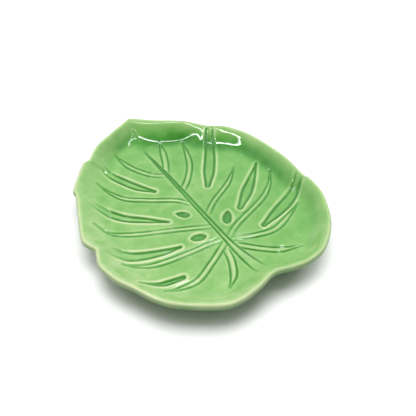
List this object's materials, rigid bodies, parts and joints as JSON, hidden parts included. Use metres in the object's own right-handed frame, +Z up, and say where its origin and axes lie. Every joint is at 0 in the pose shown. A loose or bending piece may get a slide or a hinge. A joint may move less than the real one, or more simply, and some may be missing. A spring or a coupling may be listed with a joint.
{
  "type": "leaf shaped plate",
  "caption": "Shallow serving plate in the shape of a split leaf, in green glazed earthenware, with raised lip, pressed veins and splits, and a round foot ring.",
  "frame": {"origin": "on the surface that the plate stands on, under the centre of its bounding box", "axes": "+Z up, +Y along the midrib from the stalk end to the leaf's tip, +X to the right seen from above"},
  "size_m": [0.1488, 0.1768, 0.0209],
  "materials": {
    "clay": "fired, under the glaze",
    "bare_clay": "matt, wiped bare",
    "green_glaze": "glossy"
  },
  "bodies": {
    "root": {"clay_body": "clay", "foot_ring": "bare_clay", "glaze_coat": "green_glaze", "foot_well_glaze": "green_glaze"}
  },
  "joints": []
}
